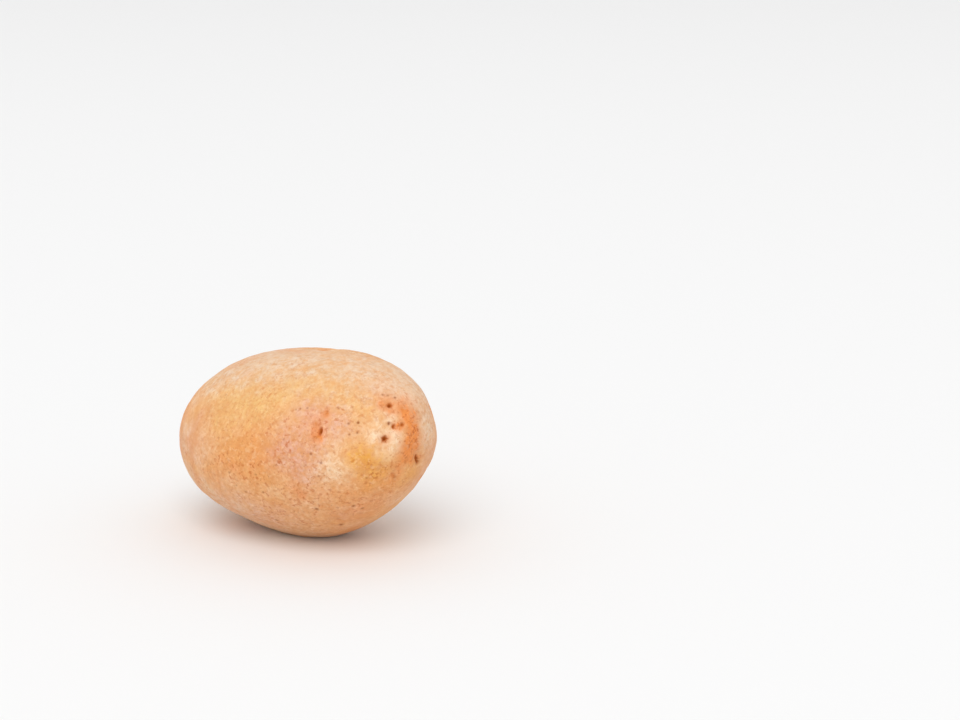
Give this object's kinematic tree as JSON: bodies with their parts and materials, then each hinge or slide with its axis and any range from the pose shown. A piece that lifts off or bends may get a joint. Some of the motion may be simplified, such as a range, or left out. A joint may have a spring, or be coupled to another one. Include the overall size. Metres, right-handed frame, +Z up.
{
  "type": "potato",
  "caption": "Whole raw oval table potato lying on its side, with shallow eyes gathered at one end, a sunken stolon scar at the other and a small flat resting spot.",
  "frame": {"origin": "at the level of the flat resting spot under the belly, below the middle of the tuber's box", "axes": "+X along the long axis to the rose end, where most eyes sit; +Z up from the resting spot; -Y is the side that the reference view shows"},
  "size_m": [0.1022, 0.067, 0.0631],
  "materials": {
    "skin": null
  },
  "bodies": {
    "root": {"potato": "skin"}
  },
  "joints": []
}
